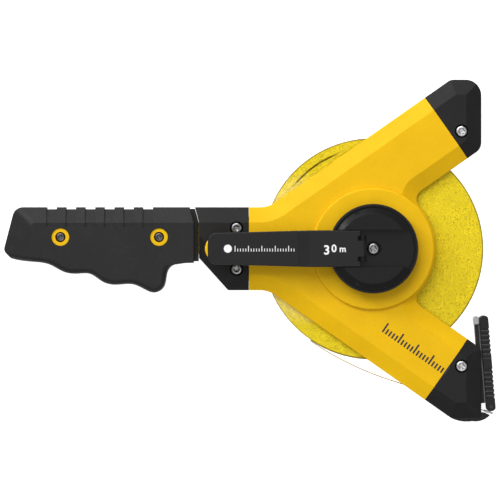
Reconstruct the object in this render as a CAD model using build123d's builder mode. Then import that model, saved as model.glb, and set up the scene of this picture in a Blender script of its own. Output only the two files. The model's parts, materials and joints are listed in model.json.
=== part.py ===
"""Open-frame surveyor's tape reel with a flip-over crank and a folding end fitting.

The reel lies on its back: +X runs from the grip to the tape's mouth, +Y to the upper arm, and +Z is
the reel's axis, up from the rear face at Z = 0. The origin is on the axis. All sizes are in mm.
"""

import os
from math import cos, radians, sin, sqrt, tan

from build123d import *

os.makedirs("parts", exist_ok=True)

# --- Driving dimensions -----------------------------------------------------------------------

# Frame outline
frame_depth = 32.0  # over both halves
neck_half = 31.2  # half the height of the neck, the collar and the grip's top edge
neck_left = -93.0  # where the yellow frame meets the collar
arm_angle = 35.0  # each arm's angle from +X
arm_width = 55.7
arm_outer = 70.5  # from the axis to an arm's outer edge
cap_start = 97.1  # from the axis to the joint with the cap, along the arm
frame_top = 127.0  # height of the upper cap's flat end
nose_x = 81.5  # the caps' right faces
disc_r = 45.8
disc_rise = 3.0
disc_rim = 1.6  # ledge round the disc, between the arms
bevel_width = 11.5
bevel_drop = 5.5
neck_blend_r = 20.0
crotch_r = 7.8
cap_heel_r = 8.0
cap_corner_r = 12.0
cap_nose_r = 9.0
lower_nose_r = 2.0  # the lower cap's corner above the mouth
lip_reach = 6.4  # how far the lip under the mouth stands out past the cap's nose
lip_drop = 2.5
lip_flat = 7.0
lip_run = 23.0  # from the nose back to where the lip's belly meets the cap's bottom edge
edge_r = 0.8  # rounding of the moulded edges
seam = 0.12  # shadow gap where the caps and the collar meet the frame
plate = 7.5  # thickness of a frame half over the coil
wall = 3.5  # arms' side walls

# Tape and drum
tape_width = 13.0
tape_thick = 0.45
coil_r = 83.3
drum_r = 44.5
drum_wall = 4.0
drum_hole_r = 6.5  # lightening holes in the drum's web
drum_holes_at = 31.0
coil_gap = 2.7  # from the coil's edge to the frame
lead_gap = 0.4  # from the coil to the lead that leaves it
lead_slope = 18.0  # fall of the tape's line to the mouth, in degrees
lead_bend_r = 240.0
mouth_y = -121.0  # the tape's height where it passes the lower cap's face
mouth_height = 3.0
mouth_side = 1.0  # room beside the tape in the mouth

# Collar and grip
collar_left = -130.5
collar_corner_y = -7.0
collar_corner_x = -108.75
grip_right = -134.6
seam_slant = 3.1  # how far the seam beside the grip leans over the top bevel
grip_left = -277.4
grip_bevel = 11.7
finger_r = 4.0  # rounding along the finger waves
butt_round = 9.0  # rounding between the grip's bevels
thumb_first = -241.2
thumb_pitch = 14.46
thumb_count = 6
thumb_width = 7.6
thumb_depth = 1.5
thumb_lip = 1.1  # depth of a groove's lower end
thumb_run = 3.9  # how far it runs on below the bevel
tang_height = 24.0
tang_centre_y = 8.0
tang_left = -248.0
tang_depth = 16.0  # over both halves
collar_tang_left = -112.0
collar_tang_half = 24.0
boss_r = 6.6

# Hub, crank and knob
hub_r = 33.5
hub_lip = 2.0
hub_groove = 1.3
hub_flat_r = 26.2
hub_rise = 18.0  # the hub's top over the disc
hub_bevel_drop = 6.0  # from the hub's top to its lip
hub_bevel_rise = 3.0
hub_boss_r = 20.0
bush_wall = 4.0
channel_half = 14.1
channel_end = 32.0
rear_stub_r = 12.0
arm_left = -123.75
arm_end_half = 11.6
arm_end_r = 6.5
arm_half = 13.7
arm_thick = 5.0
arm_tip_thick = 4.5
arm_step = 3.5
arm_step_left = -56.9
arm_step_right = -48.0
arm_gap_x = -10.2
hinge_x = -8.0
knuckle_half = 6.0
lug_width = 3.2
hinge_pin_r = 1.25
knob_x = -115.9
knob_r = 10.0
knob_gap = 1.0  # from the frame to the folded knob
knob_axle_r = 3.0

# End fitting
pin_out = 4.0  # from the cap's face to the bar, at the pin
fold_gap = 0.4  # from the bar to the tape's clamp when unfolded
fitting_lean = 4.75  # the fitting's lean from upright, top towards the cap
fitting_thick = 6.8
fitting_length = 68.6
fitting_width = 20.0
claw_thick = 1.1
sleeve_thick = 2.7
sleeve_width = 14.0
claw_head = 6.0
end_pin_r = 1.25
rib_pitch = 3.5
rib_gap = 1.4
rib_depth = 0.5
clamp_thick = 1.4
clamp_rivet_r = 0.9

# Fasteners: shank radius, head radius, head height, nut's corner radius, nut's height
m5 = (2.5, 4.7, 2.8, 4.6, 3.7)
m4 = (2.0, 3.6, 2.4, 4.0, 3.2)
cap_screw_x = 66.5
cap_screw_y = 88.2
collar_screw_x = -102.3
collar_screw_y = 15.4
grip_screw_y = 8.7
grip_screws_x = (-234.5, -160.5)

# Clearances
running = 0.05  # radial, a shaft in its bush
fit = 0.15  # between fixed pieces
apart = 0.4  # between moving pieces

# --- Worked out from the above ----------------------------------------------------------------

mid_z = frame_depth / 2
disc_top = frame_depth + disc_rise
hub_top = disc_top + hub_rise
inner_low, inner_high = plate, frame_depth - plate
tape_low, tape_high = mid_z - tape_width / 2, mid_z + tape_width / 2
arm_inner = arm_outer - arm_width
lean = radians(arm_angle)
clear_r = coil_r + coil_gap


def arm_point(along, across, side=1):
    """A point given along and across an arm; side is 1 for the upper arm and -1 for the lower."""
    x = along * cos(lean) - across * sin(lean)
    return x, side * (along * sin(lean) + across * cos(lean))


def arm_plane(along, side, z=0.0):
    """A plane across an arm, facing its free end."""
    x, y = arm_point(along, 0, side)
    return Plane(origin=(x, y, z), x_dir=(0, 0, 1), z_dir=(cos(lean), side * sin(lean), 0))


def slope_x(y, across):
    """Where the arm's edge at that distance from the axis reaches a height."""
    return (y - across / cos(lean)) / tan(lean)


def slope_y(x, across):
    return x * tan(lean) + across / cos(lean)


def box(low, high, mode=Mode.ADD):
    """A box between two corners."""
    size = [b - a for a, b in zip(low, high)]
    with Locations(tuple((a + b) / 2 for a, b in zip(low, high))):
        Box(*size, mode=mode)


def rod(x, y, radius, z_low, z_high, mode=Mode.ADD):
    """A cylinder along the reel's axis."""
    with Locations((x, y, (z_low + z_high) / 2)):
        Cylinder(radius, z_high - z_low, mode=mode)


def arm_block(side, along, across, z, mode=Mode.ADD):
    """A block laid along an arm, from pairs of limits."""
    with BuildSketch(Plane.XY.offset(z[0])) as block:
        with BuildLine():
            corners = [(along[0], across[0]), (along[1], across[0]), (along[1], across[1])]
            corners.append((along[0], across[1]))
            Polyline([arm_point(*corner, side) for corner in corners], close=True)
        make_face()
    extrude(block.sketch, amount=z[1] - z[0], mode=mode)


def finish(builder, name):
    builder.part.label = name
    export_step(builder.part, f"parts/{name}.step")


# --- Fasteners --------------------------------------------------------------------------------


def screw_holes(sites, size, seat, nut_seat):
    """Clearance holes with a head recess in front and a nut pocket behind."""
    shank_r, head_r, head_height, nut_r, nut_height = size
    for x, y in sites:
        rod(x, y, shank_r + fit, -1, frame_depth + 10, Mode.SUBTRACT)
        rod(x, y, head_r + 2 * fit, seat, frame_depth + 10, Mode.SUBTRACT)
        with BuildSketch(Plane.XY.offset(-1)) as pocket:
            with Locations((x, y)):
                RegularPolygon(nut_r + fit, 6)
        extrude(pocket.sketch, amount=nut_seat + 1, mode=Mode.SUBTRACT)


def screws(sites, size, seat, end):
    """Dome-headed screws with a hexagon socket, pointing down."""
    shank_r, head_r, head_height, nut_r, nut_height = size
    for x, y in sites:
        rod(x, y, shank_r, end, seat)
        with BuildSketch(Plane((x, y, seat), x_dir=(1, 0, 0), z_dir=(0, -1, 0))) as dome:
            with BuildLine():
                Polyline((0, head_height), (0, 0), (head_r, 0), (head_r, head_height * 0.35))
                ThreePointArc(
                    (head_r, head_height * 0.35), (head_r * 0.62, head_height * 0.86), (0, head_height)
                )
            make_face()
        revolve(dome.sketch, axis=Axis((x, y, 0), (0, 0, 1)))
        with BuildSketch(Plane.XY.offset(seat + head_height * 0.45)) as socket:
            with Locations((x, y)):
                RegularPolygon(head_r * 0.5, 6)
        extrude(socket.sketch, amount=head_height, mode=Mode.SUBTRACT)


def nuts(sites, size, nut_seat):
    shank_r, head_r, head_height, nut_r, nut_height = size
    for x, y in sites:
        with BuildSketch(Plane.XY.offset(nut_seat - nut_height)) as nut:
            with Locations((x, y)):
                RegularPolygon(nut_r, 6)
                Circle(shank_r + running, mode=Mode.SUBTRACT)
        extrude(nut.sketch, amount=nut_height)


cap_sites = [(cap_screw_x, side * cap_screw_y) for side in (1, -1)]
collar_sites = [(collar_screw_x, side * collar_screw_y) for side in (1, -1)]
grip_sites = [(x, grip_screw_y) for x in grip_screws_x]
m5_seat = frame_depth - m5[2] - 0.8
m5_nut_seat = m5[4] + 0.8
boss_face = frame_depth - 0.8
m4_seat = boss_face - m4[2] - 0.6
m4_nut_seat = frame_depth - boss_face + m4[4] + 0.4

# --- Frame ------------------------------------------------------------------------------------

neck_corner = (slope_x(neck_half, arm_outer), neck_half)
cap_heel = (slope_x(frame_top, arm_outer), frame_top)
cap_corner = (nose_x, frame_top)
cap_nose = (nose_x, slope_y(nose_x, arm_inner))
crotch = (slope_x(0, arm_inner), 0)
rim_r = disc_r + disc_rim
crotch_along = sqrt(rim_r**2 - arm_inner**2)


def flip(point):
    return point[0], -point[1]


with BuildSketch() as sharp_outline:
    with BuildLine():
        upper = [(collar_left - seam_slant, neck_half), neck_corner, cap_heel, cap_corner, cap_nose, crotch]
        lower = [flip(point) for point in (cap_nose, cap_corner, cap_heel, neck_corner)]
        collar = [(collar_corner_x, -neck_half), (collar_left, collar_corner_y)]
        collar.append((collar_left, neck_half - grip_bevel))
        Polyline(upper + lower + collar, close=True)
    make_face()
    Circle(rim_r)
    hollows = [(neck_corner, neck_blend_r), (arm_point(crotch_along, arm_inner), crotch_r)]
    for point, radius in hollows:
        for corner in (point, flip(point)):
            fillet(sharp_outline.vertices().sort_by_distance((*corner, 0))[0], radius)

with BuildSketch() as silhouette:
    add(sharp_outline.sketch)
    rounds = [(cap_heel, cap_heel_r), (cap_nose, cap_nose_r), (cap_corner, cap_corner_r)]
    for point, radius in rounds:
        fillet(silhouette.vertices().sort_by_distance((*point, 0))[0], radius)
    rounds[2] = (cap_corner, lower_nose_r)
    for point, radius in rounds:
        fillet(silhouette.vertices().sort_by_distance((*flip(point), 0))[0], radius)

with BuildPart() as front_body:
    with BuildSketch(Plane.XY.offset(mid_z)):
        add(sharp_outline.sketch)
    extrude(amount=mid_z)
    face = front_body.faces().sort_by(Axis.Z)[-1]
    outer_edges = [edge for edge in face.edges() if edge.center().X > collar_left + 1]
    chamfer(outer_edges, length=bevel_width, length2=bevel_drop, reference=face)
    with BuildSketch(Plane.XY.offset(mid_z)):
        add(silhouette.sketch)
    extrude(amount=mid_z, mode=Mode.INTERSECT)
    moulded = front_body.edges().filter_by(lambda edge: edge.center().Z > mid_z + edge_r)
    fillet(moulded.filter_by(lambda edge: edge.center().X > collar_left + 1), edge_r)

with BuildPart() as rear_body:
    add(front_body.part)
    mirror(about=Plane.XY.offset(mid_z), mode=Mode.REPLACE)

# The tape's line from the coil to the mouth
fall = radians(lead_slope)
line_dir = Vector(cos(fall), -sin(fall), 0)
line_up = Vector(sin(fall), cos(fall), 0)
mouth = Vector(nose_x, mouth_y, 0)
tape_plane = Plane(origin=mouth, x_dir=line_dir, z_dir=(0, 0, 1))
pin_above = fitting_thick / 2 + fold_gap + clamp_thick / 2
pin_along = (pin_out + fitting_thick / 2 - pin_above * sin(fall)) / cos(fall)
pin = mouth + line_dir * pin_along + line_up * pin_above
mouth_low, mouth_high = tape_low - mouth_side, tape_high + mouth_side
tongue_across = (arm_inner + 11.0, arm_inner + 39.0)
tongue_end = cap_start + 16.0
tongue_low, tongue_high = inner_low + 0.5, inner_high - 0.5
tang_low, tang_high = mid_z - tang_depth / 2, mid_z + tang_depth / 2


# The lead leaves the coil on a wide bend, then runs straight to the mouth
line_drop = -mouth.dot(line_up)  # from the axis to the tape's line
bend_out = lead_bend_r - (coil_r + lead_gap + tape_thick / 2)
bend_rise = lead_bend_r - line_drop
bend_centre = line_up * bend_rise + line_dir * sqrt(bend_out**2 - bend_rise**2)
bend_end = bend_centre - line_up * lead_bend_r
bend_start = bend_centre * (1 - lead_bend_r / bend_centre.length)
bend_chord = bend_start + bend_end - bend_centre * 2
bend_middle = bend_centre + bend_chord.normalized() * lead_bend_r


def lead_strip(end, thickness):
    """The lead's path in plan, from the coil to a point on the tape's line, as a strip."""
    with BuildSketch() as strip:
        with BuildLine() as path:
            ThreePointArc(bend_start, bend_middle, bend_end)
            Line(bend_end, end)
        trace(path.line, line_width=thickness)
    return strip.sketch


def cut_tape_way():
    """The passage that the tape runs through, from the coil to the mouth."""
    strip = lead_strip(mouth + line_dir * mouth_height * 2, mouth_height)
    strip = Pos(0, 0, mouth_low) * strip
    extrude(strip, amount=mouth_high - mouth_low, mode=Mode.SUBTRACT)


def frame_half(body, inside, tongue, tang, boss):
    """A frame half: its share of the body, hollowed, with its tongues, tang and bosses."""
    with BuildPart() as half:
        add(body.part)
        split(bisect_by=Plane.YZ.offset(neck_left), keep=Keep.TOP)
        for side in (1, -1):
            split(bisect_by=arm_plane(cap_start, side), keep=Keep.BOTTOM)
        box((neck_left + wall, -neck_half + wall, inside[0]), (0, neck_half - wall, inside[1]), Mode.SUBTRACT)
        for side in (1, -1):
            across = (arm_inner + wall, arm_outer - wall)
            arm_block(side, (30, cap_start - wall), across, inside, Mode.SUBTRACT)
            arm_block(side, (cap_start - wall, tongue_end), tongue_across, tongue)
        rod(0, 0, clear_r, *inside, Mode.SUBTRACT)
        collar_edge = collar_tang_half
        box((collar_tang_left, -collar_edge, tang[0]), (neck_left + wall, collar_edge, tang[1]))
        low_y, high_y = tang_centre_y - tang_height / 2, tang_centre_y + tang_height / 2
        box((tang_left, low_y, tang[0]), (collar_tang_left, high_y, tang[1]))
        for x, y in grip_sites:
            rod(x, y, boss_r, *boss)
        screw_holes(cap_sites + collar_sites, m5, frame_depth, 0)
        screw_holes(grip_sites, m4, m4_seat, m4_nut_seat)
        cut_tape_way()
    return half


front_shell = frame_half(
    front_body, (mid_z, inner_high), (mid_z, tongue_high), (mid_z, tang_high), (mid_z, boss_face)
)
with BuildPart() as frame_front:
    add(front_shell.part)
    rod(0, 0, disc_r, inner_high, disc_top)
    fillet(frame_front.edges().filter_by(GeomType.CIRCLE).group_by(Axis.Z)[-1], disc_rise / 2)
    rod(0, 0, hub_boss_r + running + bush_wall, mid_z, disc_top + 1, Mode.SUBTRACT)
finish(frame_front, "frame_front")

rear_shell = frame_half(
    rear_body, (inner_low, mid_z), (tongue_low, mid_z), (tang_low, mid_z), (frame_depth - boss_face, mid_z)
)
bush_floor = 2.5
with BuildPart() as frame_rear:
    add(rear_shell.part)
    rod(0, 0, rear_stub_r + running + bush_wall, bush_floor, mid_z, Mode.SUBTRACT)
finish(frame_rear, "frame_rear")

# --- Bushes -----------------------------------------------------------------------------------

with BuildPart() as front_bush:
    rod(0, 0, hub_boss_r + running + bush_wall, inner_high, disc_top)
    rod(0, 0, hub_boss_r + running, inner_high, disc_top, Mode.SUBTRACT)
finish(front_bush, "front_bush")

with BuildPart() as rear_bush:
    rod(0, 0, rear_stub_r + running + bush_wall, bush_floor, inner_low)
    rod(0, 0, rear_stub_r + running, bush_floor, inner_low, Mode.SUBTRACT)
finish(rear_bush, "rear_bush")

# --- Caps -------------------------------------------------------------------------------------

pocket_across = (tongue_across[0] - fit, tongue_across[1] + fit)
fitting_tilt = radians(fitting_lean)
fitting_plane = Plane(
    origin=pin, x_dir=(cos(fitting_tilt), sin(fitting_tilt), 0), z_dir=(0, 0, 1)
)
claw_face = -fitting_thick / 2 - 0.1  # the claw plate's seat on the grip bar
sleeve_face = claw_face - claw_thick - sleeve_thick


def cap(side):
    """A cap's shell, hollowed for the frame's tongues."""
    with BuildPart() as shell:
        add(front_body.part)
        add(rear_body.part)
        split(bisect_by=arm_plane(cap_start + seam, side), keep=Keep.TOP)
        pocket_z = (tongue_low - fit, tongue_high + fit)
        arm_block(side, (cap_start - 1, tongue_end + fit), pocket_across, pocket_z, Mode.SUBTRACT)
        screw_holes(cap_sites, m5, m5_seat, m5_nut_seat)
    return shell


with BuildPart() as upper_cap:
    add(cap(1).part)
finish(upper_cap, "upper_cap")

lip_top = mouth_y - mouth_height / 2 / cos(fall)
lip_end = (nose_x + lip_reach, lip_top - lip_drop)
lip_bottom = -frame_top - lip_drop
lip_belly = (nose_x - lip_flat, lip_bottom)
lip_heel = (nose_x - lip_run, -frame_top)
with BuildPart() as lower_cap:
    add(cap(-1).part)
    with BuildSketch(Plane.XY.offset(bevel_drop)):
        with BuildLine():
            Polyline((nose_x - 14, lip_bottom + 5), (nose_x - 3, lip_top), (nose_x + 3, lip_top - 1), lip_end)
            ThreePointArc(lip_end, (nose_x + 1.5, lip_bottom + 1.0), lip_belly)
            ThreePointArc(lip_belly, (nose_x - 2.2 * lip_flat, lip_bottom), lip_heel)
            Line(lip_heel, (nose_x - 14, lip_bottom + 5))
        make_face()
    extrude(amount=frame_depth - 2 * bevel_drop)
    cut_tape_way()
    slot_side = (sleeve_width + 2 * apart) / 2
    with BuildSketch(fitting_plane.offset(mid_z - slot_side)):
        with Locations((sleeve_face - apart, -1.0)):
            Rectangle(20, fitting_length, align=(Align.MIN, Align.MIN))
    extrude(amount=2 * slot_side, mode=Mode.SUBTRACT)
finish(lower_cap, "lower_cap")

with BuildPart() as cap_screws:
    screws(cap_sites, m5, m5_seat, 1.5)
finish(cap_screws, "cap_screws")

with BuildPart() as cap_nuts:
    nuts(cap_sites, m5, m5_nut_seat)
finish(cap_nuts, "cap_nuts")

# --- Collar -----------------------------------------------------------------------------------


def cut_tang_pocket(z):
    """The room that the grip and the collar leave for the frame's tang."""
    edge = collar_tang_half + fit
    box((collar_tang_left - fit, -edge, z[0]), (neck_left + 1, edge, z[1]), Mode.SUBTRACT)
    low_y, high_y = tang_centre_y - tang_height / 2 - fit, tang_centre_y + tang_height / 2 + fit
    box((tang_left - fit, low_y, z[0]), (neck_left + 1, high_y, z[1]), Mode.SUBTRACT)


def collar_shell(body, pocket):
    with BuildPart() as shell:
        add(body.part)
        split(bisect_by=Plane.YZ.offset(neck_left - seam), keep=Keep.BOTTOM)
        cut_tang_pocket(pocket)
        screw_holes(collar_sites, m5, m5_seat, m5_nut_seat)
    return shell


front_pocket = (mid_z, tang_high + fit)
rear_pocket = (tang_low - fit, mid_z)
with BuildPart() as collar_front:
    add(collar_shell(front_body, front_pocket).part)
finish(collar_front, "collar_front")

with BuildPart() as collar_rear:
    add(collar_shell(rear_body, rear_pocket).part)
finish(collar_rear, "collar_rear")

with BuildPart() as collar_screws:
    screws(collar_sites, m5, m5_seat, 1.5)
finish(collar_screws, "collar_screws")

with BuildPart() as collar_nuts:
    nuts(collar_sites, m5, m5_nut_seat)
finish(collar_nuts, "collar_nuts")

# --- Grip -------------------------------------------------------------------------------------

# The underside from the butt to the collar: three finger waves and the guard behind the collar
finger_line = [
    (-272.0, -7.2),
    (-256.0, -9.8),
    (-242.5, -12.0),
    (-232.0, -17.4),
    (-222.0, -18.8),
    (-212.5, -18.9),
    (-202.7, -24.9),
    (-194.0, -27.1),
    (-180.0, -26.8),
    (-171.6, -30.4),
    (-163.3, -32.9),
    (-157.6, -29.6),
    (-154.4, -17.7),
    (-149.0, -12.0),
]
butt_top, butt_bottom = (-268.9, neck_half), (-277.6, -1.5)
slant_y = neck_half - grip_bevel
finger_end = (-141.0, -10.8)
grip_seam = collar_left - apart
grip_step = 1.2  # depth of the groove at the seam with the collar

with BuildSketch() as grip_outline:
    with BuildLine():
        slant_top = (grip_right - seam_slant, neck_half)
        Polyline(slant_top, butt_top, butt_bottom, finger_line[0])
        Spline(finger_line)
        Polyline(
            finger_line[-1], finger_end, (grip_right, -10.6), (grip_right, slant_y), slant_top
        )
    make_face()
    fillet(grip_outline.vertices().sort_by_distance((*butt_top, 0))[0], 8.0)
    fillet(grip_outline.vertices().sort_by_distance((*butt_bottom, 0))[0], 4.5)

with BuildPart() as grip_body:
    with BuildSketch(Plane.XY.offset(mid_z)):
        add(grip_outline.sketch)
    extrude(amount=mid_z)
    # bevels along the top and across the butt
    bevel_z = frame_depth - bevel_drop
    with BuildSketch(Plane.YZ.offset(grip_left - 1)):
        with BuildLine():
            corner = (neck_half - grip_bevel, frame_depth)
            outside = neck_half + 5
            top = frame_depth + 5
            Polyline(corner, (neck_half, bevel_z), (outside, bevel_z), (outside, top), close=True)
        make_face()
    extrude(amount=grip_right - grip_left + 2, mode=Mode.SUBTRACT)
    with BuildSketch(Plane.XZ.offset(-neck_half - 1)):
        with BuildLine():
            butt = [(-256.5, frame_depth), (grip_left, bevel_z - 4), (grip_left - 5, bevel_z - 4)]
            Polyline(butt + [(grip_left - 5, frame_depth + 5), (-256.5, frame_depth + 5)], close=True)
        make_face()
    extrude(amount=2 * neck_half + 10, mode=Mode.SUBTRACT)
    under_edges = grip_body.edges().filter_by(GeomType.BSPLINE)
    fillet(under_edges.filter_by(lambda edge: edge.center().Z > mid_z + 1), finger_r)
    crease = grip_body.edges().sort_by_distance((-262.0, 25.5, frame_depth - 2.7))[0]
    fillet(crease, butt_round)
    # thumb grooves over the top edge
    for index in range(thumb_count):
        start = thumb_first + index * thumb_pitch - thumb_width / 2
        with BuildSketch(Plane.YZ.offset(start)):
            with BuildLine():
                floor_y = neck_half - thumb_depth
                knee = (slant_y, frame_depth - thumb_lip)
                toe = (slant_y - thumb_run + thumb_lip, frame_depth - thumb_lip)
                foot = (slant_y - thumb_run, frame_depth)
                high = (neck_half + 5, frame_depth + 5)
                Polyline(
                    (floor_y, mid_z),
                    (floor_y, bevel_z - thumb_lip),
                    knee,
                    toe,
                    foot,
                    (foot[0], high[1]),
                    high,
                    (high[0], mid_z),
                    close=True,
                )
            make_face()
        extrude(amount=thumb_width, mode=Mode.SUBTRACT)
    # the stepped neck that fills the seam with the collar
    with BuildSketch(Plane.XY.offset(mid_z)):
        with BuildLine():
            low_y, high_y = -10.6 + grip_step, neck_half - grip_step
            shift = seam_slant * (high_y - slant_y) / grip_bevel
            left = [(grip_right, low_y), (grip_right, slant_y), (grip_right - shift, high_y)]
            right = [(grip_seam - shift, high_y), (grip_seam, slant_y), (grip_seam, low_y)]
            Polyline(left + right, close=True)
        make_face()
    extrude(amount=mid_z - bevel_drop - grip_step)


def grip_shell(pocket, flipped):
    with BuildPart() as shell:
        add(grip_body.part)
        if flipped:
            mirror(about=Plane.XY.offset(mid_z), mode=Mode.REPLACE)
        cut_tang_pocket(pocket)
        for x, y in grip_sites:
            rod(x, y, boss_r + fit, -1, frame_depth + 1, Mode.SUBTRACT)
    return shell


with BuildPart() as grip_front:
    add(grip_shell(front_pocket, False).part)
finish(grip_front, "grip_front")

with BuildPart() as grip_rear:
    add(grip_shell(rear_pocket, True).part)
finish(grip_rear, "grip_rear")

with BuildPart() as grip_screws:
    screws(grip_sites, m4, m4_seat, 2.0)
finish(grip_screws, "grip_screws")

with BuildPart() as grip_nuts:
    nuts(grip_sites, m4, m4_nut_seat)
finish(grip_nuts, "grip_nuts")

# --- Reel -------------------------------------------------------------------------------------

drum_low, drum_high = tape_low - 0.5, tape_high + 0.5
drum_face = inner_high - apart
square = 16.0
square_depth = 5.0
insert_r = 4.0
insert_high = drum_face - square_depth - 0.1
insert_low = insert_high - 9.0
with BuildPart() as spool_drum:
    rod(0, 0, drum_r, drum_low, drum_high)
    rod(0, 0, drum_r - drum_wall, drum_low, drum_high, Mode.SUBTRACT)
    rod(0, 0, drum_r - drum_wall, mid_z - 2, mid_z + 2)
    rod(0, 0, hub_boss_r + 2, inner_low + apart, drum_face)
    rod(0, 0, rear_stub_r, bush_floor + apart, inner_low + apart)
    with PolarLocations(drum_holes_at, 6):
        Cylinder(drum_hole_r, 3 * frame_depth, mode=Mode.SUBTRACT)
    half, deep = square / 2, drum_face - square_depth
    box((-half, -half, deep), (half, half, drum_face), Mode.SUBTRACT)
    rod(0, 0, insert_r, insert_low, drum_face, Mode.SUBTRACT)
    rod(0, drum_r - drum_wall / 2, 1.2, drum_low - 1, drum_high + 1, Mode.SUBTRACT)
finish(spool_drum, "spool_drum")

with BuildPart() as tape_anchor:
    rod(0, drum_r - drum_wall / 2, 1.2, drum_low, drum_high)
finish(tape_anchor, "tape_anchor")

with BuildPart() as tape_coil:
    rod(0, 0, coil_r, tape_low, tape_high)
    rod(0, 0, drum_r, tape_low, tape_high, Mode.SUBTRACT)
finish(tape_coil, "tape_coil")

channel_floor = hub_top - arm_thick - apart
hub_seat = channel_floor - m5[2] - 1.4
lip_top_z = hub_top - hub_bevel_drop
hinge_z = hub_top - arm_thick / 2
with BuildPart() as crank_hub:
    with BuildSketch(Plane.XZ):
        with BuildLine():
            inner_r = hub_r - hub_lip - hub_groove
            Polyline(
                (0, drum_face),
                (hub_boss_r, drum_face),
                (hub_boss_r, disc_top + apart),
                (hub_r, disc_top + apart),
                (hub_r, lip_top_z - 0.8),
                (hub_r - 0.8, lip_top_z),
                (hub_r - hub_lip, lip_top_z),
                (hub_r - hub_lip, lip_top_z - 2),
                (inner_r, lip_top_z - 2),
                (inner_r, hub_top - hub_bevel_rise),
                (hub_flat_r, hub_top),
                (0, hub_top),
                close=True,
            )
        make_face()
    revolve(axis=Axis.Z)
    box((-hub_r - 1, -channel_half, channel_floor), (channel_end, channel_half, hub_top + 1), Mode.SUBTRACT)
    half, deep = square / 2 - fit, drum_face - square_depth + fit
    box((-half, -half, deep), (half, half, drum_face))
    for side in (1, -1):
        low = side * (knuckle_half + fit)
        high = low + side * lug_width
        box((hinge_x - 2.5, min(low, high), channel_floor), (hinge_x + 2.5, max(low, high), hinge_z))
        with Locations(Location((hinge_x, (low + high) / 2, hinge_z), (90, 0, 0))):
            Cylinder(2.5, lug_width)
    with Locations(Location((hinge_x, 0, hinge_z), (90, 0, 0))):
        Cylinder(hinge_pin_r, 2 * (knuckle_half + lug_width + 1), mode=Mode.SUBTRACT)
    for angle in (115, -115):
        notch_r = (hub_flat_r + inner_r) / 2 + 1
        notch = (notch_r * cos(radians(angle)), notch_r * sin(radians(angle)), hub_top - hub_bevel_rise / 2)
        with Locations(Location(notch, (0, 0, angle))):
            Box(2.2, 3.0, hub_bevel_rise, mode=Mode.SUBTRACT)
    rod(0, 0, m5[1] + 1.2, hub_seat, hub_top, Mode.SUBTRACT)
    rod(0, 0, m5[0] + fit, 0, hub_top, Mode.SUBTRACT)
finish(crank_hub, "crank_hub")

with BuildPart() as hub_screw:
    screws([(0, 0)], m5, hub_seat, insert_low)
finish(hub_screw, "hub_screw")

with BuildPart() as drum_insert:
    rod(0, 0, insert_r, insert_low, insert_high)
    rod(0, 0, m5[0] + running, insert_low, insert_high, Mode.SUBTRACT)
finish(drum_insert, "drum_insert")

with BuildPart() as hinge_pin:
    with Locations(Location((hinge_x, 0, hinge_z), (90, 0, 0))):
        Cylinder(hinge_pin_r, 2 * (knuckle_half + fit + lug_width))
finish(hinge_pin, "hinge_pin")

# --- Crank ------------------------------------------------------------------------------------

arm_low = hub_top - arm_thick
arm_top = hub_top - 0.15  # just under the hub's flats
tip_top = arm_top - arm_step
tip_low = tip_top - arm_tip_thick
with BuildPart() as crank_arm:
    with BuildSketch(Plane.XZ.offset(-arm_half)):
        with BuildLine():
            Polyline(
                (arm_left, tip_low),
                (arm_step_left, tip_low),
                (arm_step_right, arm_low),
                (arm_gap_x, arm_low),
                (arm_gap_x, arm_top),
                (arm_step_right, arm_top),
                (arm_step_left, tip_top),
                (arm_left, tip_top),
                close=True,
            )
        make_face()
    extrude(amount=2 * arm_half)
    with BuildSketch(Plane.XY.offset(tip_low - 1)) as arm_plan:
        with BuildLine():
            half_plan = [(arm_gap_x, arm_half), (arm_step_right, arm_half), (arm_left, arm_end_half)]
            Polyline(half_plan + [flip(point) for point in reversed(half_plan)], close=True)
        make_face()
        fillet(arm_plan.vertices().group_by(Axis.X)[0], arm_end_r)
    extrude(amount=hub_top - tip_low + 2, mode=Mode.INTERSECT)
    fillet(crank_arm.edges().filter_by(lambda edge: edge.center().X < arm_gap_x - 1), edge_r)
    for side in (1, -1):
        low = side * knuckle_half
        high = side * (knuckle_half + lug_width + 2 * fit)
        notch_x = hinge_x - 4.0
        box((notch_x, min(low, high), arm_low - 1), (0, max(low, high), hub_top + 1), Mode.SUBTRACT)
    box((arm_gap_x - 1, -knuckle_half, arm_low), (hinge_x, knuckle_half, arm_top))
    with Locations(Location((hinge_x, 0, hinge_z), (90, 0, 0))):
        Cylinder(arm_thick / 2, 2 * knuckle_half)
        Cylinder(hinge_pin_r + running, 2 * knuckle_half + 2, mode=Mode.SUBTRACT)
    rod(knob_x, 0, knob_axle_r * 0.7, tip_low - 1, tip_low + 3, Mode.SUBTRACT)
finish(crank_arm, "crank_arm")

knob_top = tip_low - apart
knob_low = frame_depth + knob_gap
head_floor = knob_low + 2.6
with BuildPart() as knob_axle:
    rod(knob_x, 0, knob_axle_r, head_floor - 1.8, tip_low)
    rod(knob_x, 0, knob_axle_r * 0.7, tip_low, tip_low + 3)
    rod(knob_x, 0, knob_axle_r + 2, head_floor - 1.8, head_floor - 0.2)
finish(knob_axle, "knob_axle")

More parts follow.
